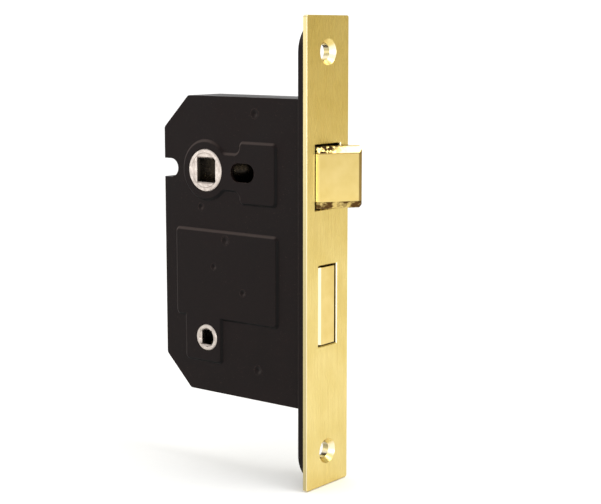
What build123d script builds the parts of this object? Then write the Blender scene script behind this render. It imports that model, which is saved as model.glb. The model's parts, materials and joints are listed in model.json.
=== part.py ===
from build123d import *
import math
import os

# Bathroom mortise lock with a sprung latch and a turn-operated deadbolt.
# Frame in mm: the origin is the centre of the forend's front face, +X points out of the
# forend, the way the bolts travel, +Z is up, and the case body's plate faces -Y.

# ---- Forend ----
FOREND_LENGTH = 153.0
FOREND_WIDTH = 22.0
FOREND_THICKNESS = 1.5
FOREND_CORNER = 0.7
FOREND_EDGE_ROUNDING = 0.35
OPENING_CHAMFER = 0.3
INNER_THICKNESS = 2.5
INNER_SIDE_INSET = 0.5
INNER_END_INSET = 1.2
FIXING_CENTRES = 130.0
FIXING_HOLE_RADIUS = 2.65
COUNTERSINK_RADIUS = 4.2
DIMPLE_RADIUS = 3.9
DIMPLE_GAP = 0.05
DIMPLE_SHORT = 0.2

# ---- Case ----
BACKSET = 45.0
REAR_DEPTH = 19.0
CASE_HEIGHT = 100.5
SHEET = 1.2
CORNER_CUT = 11.0
CORNER_ROUNDING = 1.5
TENON_CENTRE = 40.0
TENON_LENGTH = 9.0
TENON_GAP = 0.05
EMBOSS_HEIGHT = 0.8
EMBOSS_SLOPE_DEG = 45.0
EMBOSS_CORNER = 1.8
EMBOSS_WALL_SHIFT = 0.5
EMBOSS_SOFTNESS = 0.6
RING_MARGIN = 3.05
NECK_REACH_DOWN = 6.7
NECK_REACH_UP = 6.3
NECK_ROUNDING = 2.0
FRONT_PANEL_LENGTH = 16.0
FRONT_PANEL_HEIGHT = 21.0
FRONT_PANEL_OFFSET = (6.25, -0.2)
LOWER_PANEL_LENGTH = 45.0
LOWER_PANEL_HEIGHT = 30.6
LOWER_PANEL_OFFSET = (27.5, 6.6)
TURN_POCKET_REAR = 10.0
TURN_POCKET_FRONT = 6.8
TURN_POCKET_DOWN = 8.7

# ---- Follower centres, square holes and furniture fixings ----
FOLLOWER_Z = 25.5
CENTRES = 57.0
SPINDLE_SQUARE = 8.1
TURN_SQUARE = 5.1
SQUARE_LEAD_IN = 0.45
FIXING_SLOT_LENGTH = 10.1
FIXING_SLOT_WIDTH = 6.3
FIXING_SLOT_OFFSET = 16.25
NOTCH_DEPTH = 6.1

# ---- Clearances ----
RUNNING_GAP = 0.08
SIDE_GAP = 0.25
PLATE_GAP = 0.15
LATCH_SLOT_GAP = 0.35
BOLT_SLOT_GAP = 0.5
GUIDE_GAP = 0.35
CONTACT_GAP = 0.1
RIVET_GAP = 0.01
OVERCUT = 1.0

# ---- Handle follower ----
HUB_RADIUS = 7.25
HUB_PROUD = 0.2
HUB_RIM_CHAMFER = 0.4
HUB_RIM_WIDTH = 1.3
HUB_DISH_DEPTH = 0.3
HORN_HALF_THICKNESS = 3.5
HORN_DISC_MARGIN = 1.2
BACK_SHOULDER_MARGIN = 1.15
FOLLOWER_TURN_DEG = 40.0
HORN_START = 2.5
HORN_TIP_WIDTH = 3.8
HORN_TIP_DROP = 0.3
HORN_ROOT_DEPTH = 2.0
HORN_ROOT_STEP = 0.3
HORN_ROOT_RIGHT = 5.5
ARM_LEFT = -1.1
ARM_RIGHT = 3.4
ARM_TIP_ROUNDING = 1.2
ARM_BEYOND_STOP = 3.5

# ---- Latch ----
LATCH_HEIGHT = 20.0
LATCH_THICKNESS = 12.6
LATCH_THROW = 8.8
LATCH_REAR = 14.8
LATCH_BEVEL_START = 1.3
LATCH_TIP_LAND = 1.3
LATCH_END_SLOPE = 2.3
LATCH_END_DROP = 1.5
LATCH_END_ROUNDING = 0.8
TAIL_SHEET = 2.0
TAIL_BAR_UPPER = 4.9
TAIL_BAR_LOWER = 2.9
TAIL_BAR_OVERLAP = 2.0
TAIL_RECESS_LENGTH = 8.6
TAIL_LOWER_REACH = 7.0
LUG_THICKNESS = 2.5
LUG_BELOW_CONTACT = 2.2
LUG_ABOVE_CONTACT = 2.9
LATCH_RIVET_RADIUS = 1.5
LATCH_RIVET_SPACING = 6.0
RIVET_HEAD_RADIUS = 2.2
RIVET_HEAD_DEPTH = 0.7

# ---- Latch spring and its block ----
SPRING_Z_OFFSET = 6.1
SPRING_Y = 1.0
SPRING_RADIUS = 2.1
SPRING_WIRE = 0.3
SPRING_TURNS = 12
SPRING_POCKET_RADIUS = 2.7
SPRING_POCKET_DEPTH = 7.8
BLOCK_HUB_GAP = 0.55
BLOCK_LENGTH = 3.0
BLOCK_HEIGHT = 7.0
BLOCK_LOW = 3.5
BLOCK_TAIL_GAP = 0.5
BLOCK_SPIGOT_RADIUS = 1.6
GUIDE_PIN_RADIUS = 1.3
GUIDE_PIN_LENGTH = 4.0

# ---- Deadbolt ----
BOLT_HEIGHT = 25.4
BOLT_THICKNESS = 8.6
BOLT_CENTRE_Z = -16.3
BOLT_LENGTH = 22.0
BOLT_THROW = 12.0
BOLT_EDGE_CHAMFER = 0.8
BOLT_SLOT_DEPTH = 7.0
BOLT_TAIL_SHEET = 3.0
BOLT_TAIL_TOP = -2.6
BOLT_TAIL_BOTTOM = -18.5
BOLT_TAIL_HEAD_HEIGHT = 20.0
BOLT_TAIL_REAR_GAP = 0.5
BOLT_TAIL_SHOULDER = 24.0
BOLT_RIVET_SPACING = 10.6
BOLT_RIVET_RADIUS = 1.5
DETENT_DEPTH = 1.3
DETENT_HALF_WIDTH = 2.2
DETENT_FLOOR_HALF_WIDTH = 0.7
DETENT_OFFSET = 2.0

# ---- Bathroom follower ----
TURN_HUB_RADIUS = 4.6
TURN_SHOULDER_RADIUS = 6.5
TURN_SHOULDER_START = 2.0
FINGER_TIP_RADIUS = 2.0
FINGER_STEM_HALF_WIDTH = 1.1
FINGER_HALF_THICKNESS = 1.8
FINGER_START_DEG = 45.0
DRIVE_SLOT_GAP = 0.35
DRIVE_SLOT_HEADROOM = 0.3
LOBE_HALF_WIDTH = 7.5
LOBE_HUB_GAP = 0.9

# ---- Pillars, studs and cap screws: places are (X, Z) ----
PILLAR_RADIUS = 3.0
PILLAR_SPIGOT_RADIUS = 1.7
UPPER_PILLAR_X = -24.0
LOWER_PILLAR_X = -23.0
UPPER_PILLAR_DROP = 5.25
LOWER_PILLAR_RISE = 10.25
MID_PILLAR_OFFSET = (8.7, -23.0)
STAKE_DIMPLE_DEPTH = 0.4
STAKE_DIMPLE_SHARE = 0.85
STAKE_DIMPLE_TIP = 0.1
SCREW_RADIUS = 1.5
SCREW_HEAD_RADIUS = 2.6
SCREW_LENGTH = 7.0
SCREW_SLOT_WIDTH = 0.8
SCREW_SLOT_DEPTH = 0.6
SCREW_SLOT_DEG = 25.0
TAPPING_MARGIN = 0.5
STUD_RADIUS = 1.6
STUD_SPIGOT_RADIUS = 1.3
FRONT_STUD = (-28.8, -14.5)
REAR_STUD = (-41.5, -6.8)
STOP_RADIUS = 1.5
STOP_OFFSET_X = -2.7
STOP_TAIL_GAP = 0.5

# ---- Wire springs on the middle pillar ----
WIRE_RADIUS = 0.4
WIRE_BEND = 0.6
COIL_GAP = 0.15
COIL_PITCH = 0.9
RETURN_START_Y = -2.2
RETURN_TURNS = 2
RETURN_LEG_HEIGHT = 9.5
RETURN_LEG_OVERRUN = 1.5
DETENT_LEG_REACH = 7.8
DETENT_LEG_END = 1.5
DETENT_LEG_LIFT = 0.7
DETENT_NOSE_LIFT = 0.2

# ---- Values worked out from the sizes above ----
CASE_FRONT = -(FOREND_THICKNESS + INNER_THICKNESS)
CASE_REAR = -(BACKSET + REAR_DEPTH)
HALF_HEIGHT = CASE_HEIGHT / 2
HALF_INSIDE = LATCH_THICKNESS / 2 + SIDE_GAP
HALF_OUTSIDE = HALF_INSIDE + SHEET
FOLLOWER_X = -BACKSET
TURN_Z = FOLLOWER_Z - CENTRES
CONTACT_HEIGHT = LATCH_THROW / math.radians(FOLLOWER_TURN_DEG)
FIXING_SLOT_X = FOLLOWER_X + FIXING_SLOT_OFFSET
LATCH_HALF = LATCH_THICKNESS / 2
TAIL_WINDOW_HALF = HUB_RADIUS + GUIDE_GAP
LATCH_TAIL_LOW = -LATCH_HALF
LATCH_TAIL_HIGH = LATCH_TAIL_LOW + TAIL_SHEET
STOP_DROP = TAIL_WINDOW_HALF + TAIL_BAR_LOWER + STOP_TAIL_GAP + STOP_RADIUS
ARM_REACH = STOP_DROP + ARM_BEYOND_STOP
FINGER_RADIUS = BOLT_THROW / (2 * math.sin(math.radians(FINGER_START_DEG)))
DRIVE_SLOT_HALF = FINGER_TIP_RADIUS + DRIVE_SLOT_GAP
DRIVE_SLOT_X = FOLLOWER_X - BOLT_THROW / 2
DRIVE_SLOT_TOP = TURN_Z + FINGER_RADIUS + FINGER_TIP_RADIUS + DRIVE_SLOT_HEADROOM
LOBE_BOTTOM = TURN_Z + TURN_HUB_RADIUS + LOBE_HUB_GAP
DETENT_X = FOLLOWER_X - DETENT_OFFSET
MID_PILLAR = (FOLLOWER_X + MID_PILLAR_OFFSET[0], FOLLOWER_Z + MID_PILLAR_OFFSET[1])
PILLARS = [
    (UPPER_PILLAR_X, HALF_HEIGHT - UPPER_PILLAR_DROP, False),
    (*MID_PILLAR, True),
    (LOWER_PILLAR_X, LOWER_PILLAR_RISE - HALF_HEIGHT, False),
]
BOLT_STUDS = [FRONT_STUD, REAR_STUD]
STOP_STUD = (FOLLOWER_X + STOP_OFFSET_X, FOLLOWER_Z - STOP_DROP)
SPRING_Z = FOLLOWER_Z + SPRING_Z_OFFSET
BLOCK_X = FOLLOWER_X + HUB_RADIUS + HORN_DISC_MARGIN + BLOCK_HUB_GAP
BACK_SHOULDER_RADIUS = HUB_RADIUS + BACK_SHOULDER_MARGIN
COIL_RADIUS = PILLAR_RADIUS + COIL_GAP + WIRE_RADIUS
TAIL_LEFT = FOLLOWER_X - HORN_START - CONTACT_GAP - LUG_THICKNESS


# ---- Helpers ----
def side_plane(y):
    """Plane across the case at this Y, seen from the -Y side, so its x is X and its y is Z."""
    return Plane(origin=(0, y, 0), x_dir=(1, 0, 0), z_dir=(0, -1, 0))


def front_plane(x):
    """Plane parallel to the forend at this X, so its x is Y and its y is Z."""
    return Plane(origin=(x, 0, 0), x_dir=(0, 1, 0), z_dir=(1, 0, 0))


def slab(sketch, y_low, y_high):
    """Solid from a sketch of X and Z, between two values of Y."""
    return extrude(side_plane(y_high) * sketch, amount=y_high - y_low)


def plate(sketch, x_low, x_high):
    """Solid from a sketch of Y and Z, between two values of X."""
    return extrude(front_plane(x_low) * sketch, amount=x_high - x_low)


def span(low_a, high_a, low_b, high_b):
    """Rectangle between two values of each sketch direction."""
    centre = Pos((low_a + high_a) / 2, (low_b + high_b) / 2)
    return centre * Rectangle(high_a - low_a, high_b - low_b)


def outline(*points):
    """Closed straight-sided face through the points."""
    return make_face(Polyline(*points, close=True))


def rod(x, z, radius, y_low, y_high):
    """Round bar across the case."""
    return slab(Pos(x, z) * Circle(radius), y_low, y_high)


def cone_across(x, z, radius_low, radius_high, y_low, y_high):
    """Cone across the case, with its two radii at its two values of Y."""
    height = y_high - y_low
    cone = Cone(radius_high, radius_low, height, align=(Align.CENTER, Align.CENTER, Align.MIN))
    return side_plane(y_high) * Pos(x, z, 0) * cone


def square_hole(x, z, size, y_low, y_high):
    """Square hole across the case, with a small lead-in at both ends."""
    hole = slab(Pos(x, z) * Rectangle(size, size), y_low - OVERCUT, y_high + OVERCUT)
    wide = size + 2 * SQUARE_LEAD_IN
    for y, away in ((y_low, 1), (y_high, -1)):
        mouth = side_plane(y) * Pos(x, z) * Rectangle(wide, wide)
        throat = side_plane(y + away * SQUARE_LEAD_IN) * Pos(x, z) * Rectangle(size, size)
        hole += loft([mouth.faces()[0], throat.faces()[0]])
    return hole


def fixing_slot():
    """Obround hole in front of the handle follower, for a furniture fixing."""
    return Pos(FIXING_SLOT_X, FOLLOWER_Z) * SlotOverall(FIXING_SLOT_LENGTH, FIXING_SLOT_WIDTH)


def rear_notch():
    """Round-ended notch in the rear edge, for the other furniture fixing."""
    length = NOTCH_DEPTH + FIXING_SLOT_WIDTH
    centre = Pos(CASE_REAR + NOTCH_DEPTH - length / 2, FOLLOWER_Z)
    return centre * SlotOverall(length, FIXING_SLOT_WIDTH)


def wound_wire(y_start, start_deg, turns, lead_in, lead_out):
    """Wire wound round the middle pillar towards -Y, with a leg at each end of its coil.

    A leg's points are given as its reach along the coil's end tangent and its way outwards.
    """
    turn = Helix(pitch=COIL_PITCH, height=COIL_PITCH * turns, radius=COIL_RADIUS)
    legs = []
    for place, side, points in ((0, -1, lead_in), (1, 1, lead_out)):
        root = turn @ place
        along = (turn % place) * side
        out = Vector(root.X, root.Y, 0).normalized()
        corners = [root] + [root + along * reach + out * away for reach, away in points]
        straight = len(corners) == 2
        legs.append(Line(*corners) if straight else FilletPolyline(*corners, radius=WIRE_BEND))
    path = Wire([*legs[0].edges(), *turn.edges(), *legs[1].edges()])
    body = sweep(Plane(path ^ 0) * Circle(WIRE_RADIUS), path=path)
    return side_plane(y_start) * Pos(*MID_PILLAR, 0) * Rot(0, 0, start_deg) * body


def tangent_angle(centre, radius, target, target_radius, side):
    """Direction of the line from a circle to a target circle.

    The first circle lies on the line's left and the target on the given side: 1 is left and
    -1 is right. The angle is in radians in the X-Z plane.
    """
    across = target[0] - centre[0]
    up = target[1] - centre[1]
    offset = (radius - side * target_radius) / math.hypot(across, up)
    return math.atan2(up, across) + math.asin(offset)


# ---- Forend ----
def bolt_openings():
    """Openings in the forend for the latch and the deadbolt."""
    latch_growth = 2 * LATCH_SLOT_GAP
    bolt_growth = 2 * BOLT_SLOT_GAP
    latch = Rectangle(LATCH_THICKNESS + latch_growth, LATCH_HEIGHT + latch_growth)
    bolt = Rectangle(BOLT_THICKNESS + bolt_growth, BOLT_HEIGHT + bolt_growth)
    return Pos(0, FOLLOWER_Z) * latch + Pos(0, BOLT_CENTRE_Z) * bolt


def fixing_places():
    """Sketch places of the two screw holes."""
    return [Pos(0, z) for z in (-FIXING_CENTRES / 2, FIXING_CENTRES / 2)]


def fixing_holes():
    """Screw holes of the forend, countersunk from its front face."""
    depth = COUNTERSINK_RADIUS - FIXING_HOLE_RADIUS
    low = (Align.CENTER, Align.CENTER, Align.MAX)
    holes = []
    for place in fixing_places():
        holes.append(plate(place * Circle(FIXING_HOLE_RADIUS), CASE_FRONT - OVERCUT, OVERCUT))
        cone = Cone(FIXING_HOLE_RADIUS, COUNTERSINK_RADIUS, depth, align=low)
        holes.append(front_plane(0) * place * cone)
    return holes


def outer_forend():
    """Brass face plate, dimpled into the inner forend round its screw holes."""
    body = plate(RectangleRounded(FOREND_WIDTH, FOREND_LENGTH, FOREND_CORNER), -FOREND_THICKNESS, 0)
    front = body.faces().sort_by(Axis.X)[-1]
    body = fillet(front.edges(), FOREND_EDGE_ROUNDING)
    body -= plate(bolt_openings(), -FOREND_THICKNESS - OVERCUT, OVERCUT)
    front = body.faces().sort_by(Axis.X)[-1]
    body = chamfer([rim for wire in front.inner_wires() for rim in wire.edges()], OPENING_CHAMFER)
    for place in fixing_places():
        body += plate(place * Circle(DIMPLE_RADIUS), CASE_FRONT + DIMPLE_SHORT, -FOREND_THICKNESS)
    for hole in fixing_holes():
        body -= hole
    return body


def tenon_places():
    """(Z, Y low, Y high) of each case tenon in the inner forend."""
    sides = ((-HALF_OUTSIDE, -HALF_INSIDE), (HALF_INSIDE, HALF_OUTSIDE))
    return [(z, low, high) for z in (-TENON_CENTRE, TENON_CENTRE) for low, high in sides]


def inner_forend():
    """Steel plate with round ends that carries the case."""
    width = FOREND_WIDTH - 2 * INNER_SIDE_INSET
    length = FOREND_LENGTH - 2 * INNER_END_INSET
    shape = Rot(0, 0, 90) * SlotOverall(length, width)
    body = plate(shape, CASE_FRONT, -FOREND_THICKNESS)
    cuts = bolt_openings()
    for z, low, high in tenon_places():
        half = TENON_LENGTH / 2 + TENON_GAP
        cuts += span(low - TENON_GAP, high + TENON_GAP, z - half, z + half)
    for place in fixing_places():
        cuts += place * Circle(DIMPLE_RADIUS + DIMPLE_GAP)
    return body - plate(cuts, CASE_FRONT - OVERCUT, 0)


# ---- Case ----
def case_outline():
    """Side view of the case: square at the forend, with cut corners at the rear."""
    cut = CORNER_CUT
    face = outline(
        (CASE_FRONT, HALF_HEIGHT),
        (CASE_REAR + cut, HALF_HEIGHT),
        (CASE_REAR, HALF_HEIGHT - cut),
        (CASE_REAR, cut - HALF_HEIGHT),
        (CASE_REAR + cut, -HALF_HEIGHT),
        (CASE_FRONT, -HALF_HEIGHT),
    )
    corners = face.vertices().sort_by(Axis.X)[:4]
    return fillet(corners, CORNER_ROUNDING)


def side_holes():
    """Holes that both side plates share, and the rear notch."""
    handle = Pos(FOLLOWER_X, FOLLOWER_Z) * Circle(HUB_RADIUS + RUNNING_GAP)
    turn = Pos(FOLLOWER_X, TURN_Z) * Circle(TURN_HUB_RADIUS + RUNNING_GAP)
    return handle + turn + fixing_slot() + rear_notch()


def upper_emboss():
    """Raised outline round the handle follower and the fixing slot."""
    low, high = FOLLOWER_Z - NECK_REACH_DOWN, FOLLOWER_Z + NECK_REACH_UP
    ring = Pos(FOLLOWER_X, FOLLOWER_Z) * Circle(HUB_RADIUS + RING_MARGIN)
    neck = span(FOLLOWER_X, FIXING_SLOT_X, low, high)
    across, up = FRONT_PANEL_OFFSET
    panel = RectangleRounded(FRONT_PANEL_LENGTH, FRONT_PANEL_HEIGHT, EMBOSS_CORNER)
    shape = ring + neck + Pos(FIXING_SLOT_X + across, FOLLOWER_Z + up) * panel
    corners = [v for v in shape.vertices() if min(abs(v.Y - low), abs(v.Y - high)) < RIVET_GAP]
    return fillet(corners, NECK_ROUNDING)


def lower_emboss():
    """Raised outline over the deadbolt's tail and round the bathroom follower."""
    across, up = LOWER_PANEL_OFFSET
    panel = RectangleRounded(LOWER_PANEL_LENGTH, LOWER_PANEL_HEIGHT, EMBOSS_CORNER)
    left, right = FOLLOWER_X - TURN_POCKET_REAR, FOLLOWER_X + TURN_POCKET_FRONT
    pocket = span(left, right, TURN_Z - TURN_POCKET_DOWN, BOLT_CENTRE_Z)
    corners = pocket.vertices().sort_by(Axis.Y)[:2]
    return Pos(CASE_REAR + across, BOLT_CENTRE_Z + up) * panel + fillet(corners, EMBOSS_CORNER)


def level_edges(body, y):
    """Edges of a body that lie at this Y."""
    boxes = [(edge, edge.bounding_box()) for edge in body.edges()]
    return [edge for edge, box in boxes if max(abs(box.min.Y - y), abs(box.max.Y - y)) < RIVET_GAP]


def press_out(body, shape):
    """Press a shape out of the body's plate with sloped, softened sides of even thickness."""
    slope = EMBOSS_SLOPE_DEG
    outer = extrude(side_plane(-HALF_OUTSIDE) * shape, amount=EMBOSS_HEIGHT, taper=slope)
    outer = fillet(level_edges(outer, -HALF_OUTSIDE - EMBOSS_HEIGHT), EMBOSS_SOFTNESS)
    old = [edge.center() for edge in level_edges(body, -HALF_OUTSIDE)]
    body += outer
    feet = [
        edge
        for edge in level_edges(body, -HALF_OUTSIDE)
        if all((edge.center() - place).length > RIVET_GAP for place in old)
    ]
    body = fillet(feet, EMBOSS_SOFTNESS)
    inside = offset(shape, amount=-EMBOSS_WALL_SHIFT)
    return body - extrude(side_plane(-HALF_INSIDE) * inside, amount=EMBOSS_HEIGHT, taper=slope)


def tenon(y_low, y_high, z):
    """Tongue of a side plate in the inner forend."""
    half = TENON_LENGTH / 2
    reach = INNER_THICKNESS - CONTACT_GAP
    return slab(span(CASE_FRONT - SHEET, CASE_FRONT + reach, z - half, z + half), y_low, y_high)


def case_body():
    """Pressed tray: the plate in view with its raised outlines, and the folded walls."""
    shape = case_outline()
    body = slab(shape, -HALF_OUTSIDE, -HALF_INSIDE)
    body = press_out(body, upper_emboss())
    body = press_out(body, lower_emboss())
    room = offset(shape, amount=-SHEET)
    inner_half = HALF_HEIGHT - SHEET
    mouth = span(CASE_FRONT - 2 * SHEET, CASE_FRONT + OVERCUT, -inner_half, inner_half)
    body += slab(shape - room - mouth, -HALF_INSIDE, HALF_INSIDE)
    for z in (-TENON_CENTRE, TENON_CENTRE):
        body += tenon(-HALF_OUTSIDE, -HALF_INSIDE, z)
    body -= slab(side_holes(), -HALF_OUTSIDE - EMBOSS_HEIGHT - OVERCUT, HALF_INSIDE + OVERCUT)
    for x, z, raised in PILLARS:
        low, high = plate_faces(raised)
        body -= rod(x, z, PILLAR_SPIGOT_RADIUS, low, high)
    for x, z in BOLT_STUDS:
        low, high = plate_faces(True)
        body -= rod(x, z, STUD_SPIGOT_RADIUS, low, high)
    low, high = plate_faces(False)
    return body - rod(*STOP_STUD, STUD_SPIGOT_RADIUS, low, high)


def plate_faces(raised):
    """Outer and inner Y of the body's plate, on a raised outline or off it."""
    lift = EMBOSS_HEIGHT if raised else 0
    return -HALF_OUTSIDE - lift, -HALF_INSIDE - lift


def case_cap():
    """Flat cover on the +Y side, held by the cap screws."""
    body = slab(case_outline(), HALF_INSIDE, HALF_OUTSIDE)
    for z in (-TENON_CENTRE, TENON_CENTRE):
        body += tenon(HALF_INSIDE, HALF_OUTSIDE, z)
    body -= slab(side_holes(), HALF_INSIDE - OVERCUT, HALF_OUTSIDE + OVERCUT)
    body -= rod(BLOCK_X + BLOCK_LENGTH / 2, block_centre_z(), BLOCK_SPIGOT_RADIUS, 0, HALF_OUTSIDE)
    for x, z, _ in PILLARS:
        body -= screw_form(x, z, RIVET_GAP)
    return body


# ---- Pillars, studs and screws ----
def screw_form(x, z, gap):
    """Countersunk screw's outer form, grown by a gap."""
    depth = SCREW_HEAD_RADIUS - SCREW_RADIUS
    shank = rod(x, z, SCREW_RADIUS + gap, HALF_OUTSIDE - SCREW_LENGTH, HALF_OUTSIDE)
    low = SCREW_RADIUS + gap
    head = cone_across(x, z, low, SCREW_HEAD_RADIUS + gap, HALF_OUTSIDE - depth, HALF_OUTSIDE)
    return shank + head


def cap_screws():
    """Slotted countersunk screws in the pillars."""
    screws = Part()
    for x, z, _ in PILLARS:
        screw = screw_form(x, z, 0)
        slot = Pos(x, z) * Rot(0, 0, SCREW_SLOT_DEG) * Rectangle(3 * SCREW_HEAD_RADIUS, SCREW_SLOT_WIDTH)
        screw -= slab(slot, HALF_OUTSIDE - SCREW_SLOT_DEPTH, HALF_OUTSIDE + OVERCUT)
        screws += screw
    return screws


def staked_post(x, z, radius, spigot_radius, raised):
    """Post from the body's plate to the cap, with its spigot spread level with the plate."""
    low = plate_faces(raised)[0]
    post = rod(x, z, radius, -HALF_INSIDE, HALF_INSIDE - CONTACT_GAP)
    post += rod(x, z, spigot_radius, low, -HALF_INSIDE)
    dimple = spigot_radius * STAKE_DIMPLE_SHARE
    floor = low + STAKE_DIMPLE_DEPTH
    return post - cone_across(x, z, dimple, STAKE_DIMPLE_TIP, low, floor)


def cap_pillars():
    """Tapped pillars that hold the two plates apart."""
    pillars = Part()
    depth = SCREW_LENGTH + TAPPING_MARGIN
    for x, z, raised in PILLARS:
        post = staked_post(x, z, PILLAR_RADIUS, PILLAR_SPIGOT_RADIUS, raised)
        pillars += post - rod(x, z, SCREW_RADIUS + RIVET_GAP, HALF_OUTSIDE - depth, HALF_OUTSIDE)
    return pillars


def bolt_guide_studs():
    """Studs in the two long slots of the deadbolt's tail."""
    studs = Part()
    for x, z in BOLT_STUDS:
        studs += staked_post(x, z, STUD_RADIUS, STUD_SPIGOT_RADIUS, True)
    return studs


def follower_stop():
    """Stud on which the handle follower's lower arm rests."""
    return staked_post(*STOP_STUD, STOP_RADIUS, STUD_SPIGOT_RADIUS, False)


# ---- Handle follower ----
def involute_point(angle_deg):
    """Point of the horn's flank, which pushes the latch tail by equal steps for equal angles."""
    angle = math.radians(angle_deg)
    reach = HORN_START + CONTACT_HEIGHT * (math.pi / 2 - angle)
    x = CONTACT_HEIGHT * math.cos(angle) - reach * math.sin(angle)
    z = CONTACT_HEIGHT * math.sin(angle) + reach * math.cos(angle)
    return (x, z)


def horn_outline():
    """Upper horn of the follower, about its centre."""
    flank = [involute_point(angle) for angle in range(100, 45, -10)]
    root = HUB_RADIUS - HORN_ROOT_DEPTH
    tip_right = (flank[-1][0] + HORN_TIP_WIDTH, flank[-1][1] - HORN_TIP_DROP)
    root_right = (HORN_ROOT_RIGHT, root)
    root_left = (flank[0][0] + HORN_ROOT_STEP, root)
    edges = Spline(*flank) + Polyline(flank[-1], tip_right, root_right, root_left, flank[0])
    return make_face(edges)


def arm_outline():
    """Lower arm of the follower, about its centre."""
    arm = span(ARM_LEFT, ARM_RIGHT, -ARM_REACH, 0)
    corners = arm.vertices().sort_by(Axis.Y)[:2]
    return fillet(corners, ARM_TIP_ROUNDING)


def dished_hub(z, radius):
    """Hub through both plates, with chamfered rims and a shallow dish in each face."""
    low = -HALF_OUTSIDE - EMBOSS_HEIGHT - HUB_PROUD
    high = HALF_OUTSIDE + HUB_PROUD
    hub = rod(FOLLOWER_X, z, radius, low, high)
    hub = chamfer(hub.edges().filter_by(GeomType.CIRCLE), HUB_RIM_CHAMFER)
    mouth = radius - HUB_RIM_WIDTH
    floor = mouth - HUB_DISH_DEPTH
    hub -= cone_across(FOLLOWER_X, z, mouth, floor, low, low + HUB_DISH_DEPTH)
    return hub - cone_across(FOLLOWER_X, z, floor, mouth, high - HUB_DISH_DEPTH, high)


def spindle_hole(z, size):
    """Square hole through a dished hub."""
    low = HUB_DISH_DEPTH - HALF_OUTSIDE - EMBOSS_HEIGHT - HUB_PROUD
    return square_hole(FOLLOWER_X, z, size, low, HALF_OUTSIDE + HUB_PROUD - HUB_DISH_DEPTH)


def handle_follower():
    """Cast follower: two hubs in the plates, a horn, a lower arm and a square hole."""
    body = dished_hub(FOLLOWER_Z, HUB_RADIUS)
    web = horn_outline() + arm_outline() + Circle(HUB_RADIUS + HORN_DISC_MARGIN)
    web = Pos(FOLLOWER_X, FOLLOWER_Z) * web
    body += slab(web, -HORN_HALF_THICKNESS, HORN_HALF_THICKNESS)
    shoulder = HALF_INSIDE - PLATE_GAP
    body += rod(FOLLOWER_X, FOLLOWER_Z, BACK_SHOULDER_RADIUS, HORN_HALF_THICKNESS, shoulder)
    return body - spindle_hole(FOLLOWER_Z, SPINDLE_SQUARE)


# ---- Latch ----
def latch_rivet_places():
    """(X, Z) of the rivets that join the latch tail to its head."""
    x = -LATCH_REAR + TAIL_RECESS_LENGTH / 2
    return [(x, FOLLOWER_Z - LATCH_RIVET_SPACING), (x, FOLLOWER_Z)]


def bevel_face(body):
    """The latch head's bevelled face."""
    return [f for f in body.faces() if f.normal_at().X > 0.1 and f.normal_at().Y < -0.1][0]


def slope_ends(body):
    """Slope the top and bottom ends of the latch's bevel, and round where the slopes end."""
    for place in (0, -1):
        bevel = bevel_face(body)
        end = bevel.edges().sort_by(Axis.Z)[place]
        body = chamfer(end, LATCH_END_SLOPE, LATCH_END_DROP, reference=bevel)
    slopes = [face for face in body.faces() if 0.1 < abs(face.normal_at().Z) < 0.9]
    edges = [edge for face in slopes for edge in face.edges()]
    reach = LATCH_HEIGHT / 2 - RIVET_GAP
    rims = [edge for edge in edges if abs(edge.center().Z - FOLLOWER_Z) > reach]
    return fillet(rims, LATCH_END_ROUNDING)


def latch_head():
    """Brass latch head with a bevelled nose, a pocket for its spring and a seat for its tail."""
    section = outline(
        (-LATCH_REAR, -LATCH_HALF),
        (LATCH_BEVEL_START, -LATCH_HALF),
        (LATCH_THROW, LATCH_HALF - LATCH_TIP_LAND),
        (LATCH_THROW, LATCH_HALF),
        (-LATCH_REAR, LATCH_HALF),
    )
    body = extrude(Plane.XY.offset(FOLLOWER_Z - LATCH_HEIGHT / 2) * section, amount=LATCH_HEIGHT)
    body = slope_ends(body)
    seat = span(-LATCH_REAR - OVERCUT, TAIL_RECESS_LENGTH - LATCH_REAR, 0, 2 * FOLLOWER_Z)
    body -= slab(seat, LATCH_TAIL_LOW - OVERCUT, LATCH_TAIL_HIGH)
    pocket = Pos(SPRING_Y, SPRING_Z) * Circle(SPRING_POCKET_RADIUS)
    body -= plate(pocket, -LATCH_REAR - OVERCUT, SPRING_POCKET_DEPTH - LATCH_REAR)
    for x, z in latch_rivet_places():
        body -= rod(x, z, LATCH_RIVET_RADIUS + RIVET_GAP, -LATCH_HALF, LATCH_HALF)
    return body


def latch_tail():
    """Steel fork round the follower's hub, with a turned-in lug that the horn pulls."""
    top = FOLLOWER_Z + TAIL_WINDOW_HALF + TAIL_BAR_UPPER
    bottom = FOLLOWER_Z - TAIL_WINDOW_HALF - TAIL_BAR_LOWER
    front = TAIL_RECESS_LENGTH - LATCH_REAR
    joint = -LATCH_REAR
    half = LATCH_HEIGHT / 2
    lug_low = FOLLOWER_Z + CONTACT_HEIGHT - LUG_BELOW_CONTACT
    lug_high = FOLLOWER_Z + CONTACT_HEIGHT + LUG_ABOVE_CONTACT
    lug_face = TAIL_LEFT + LUG_THICKNESS
    bars_end = joint + TAIL_BAR_OVERLAP
    shape = span(joint, front, FOLLOWER_Z - half, FOLLOWER_Z + half)
    shape += span(TAIL_LEFT, bars_end, FOLLOWER_Z + TAIL_WINDOW_HALF, top)
    shape += span(FOLLOWER_X - TAIL_LOWER_REACH, bars_end, bottom, FOLLOWER_Z - TAIL_WINDOW_HALF)
    shape += span(TAIL_LEFT, lug_face, FOLLOWER_Z + TAIL_WINDOW_HALF, lug_high)
    body = slab(shape, LATCH_TAIL_LOW, LATCH_TAIL_HIGH)
    lug = span(TAIL_LEFT, lug_face, lug_low, lug_high)
    body += slab(lug, LATCH_TAIL_LOW, HORN_HALF_THICKNESS)
    for x, z in latch_rivet_places():
        body -= latch_rivet_form(x, z, RIVET_GAP)
    return body


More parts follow.
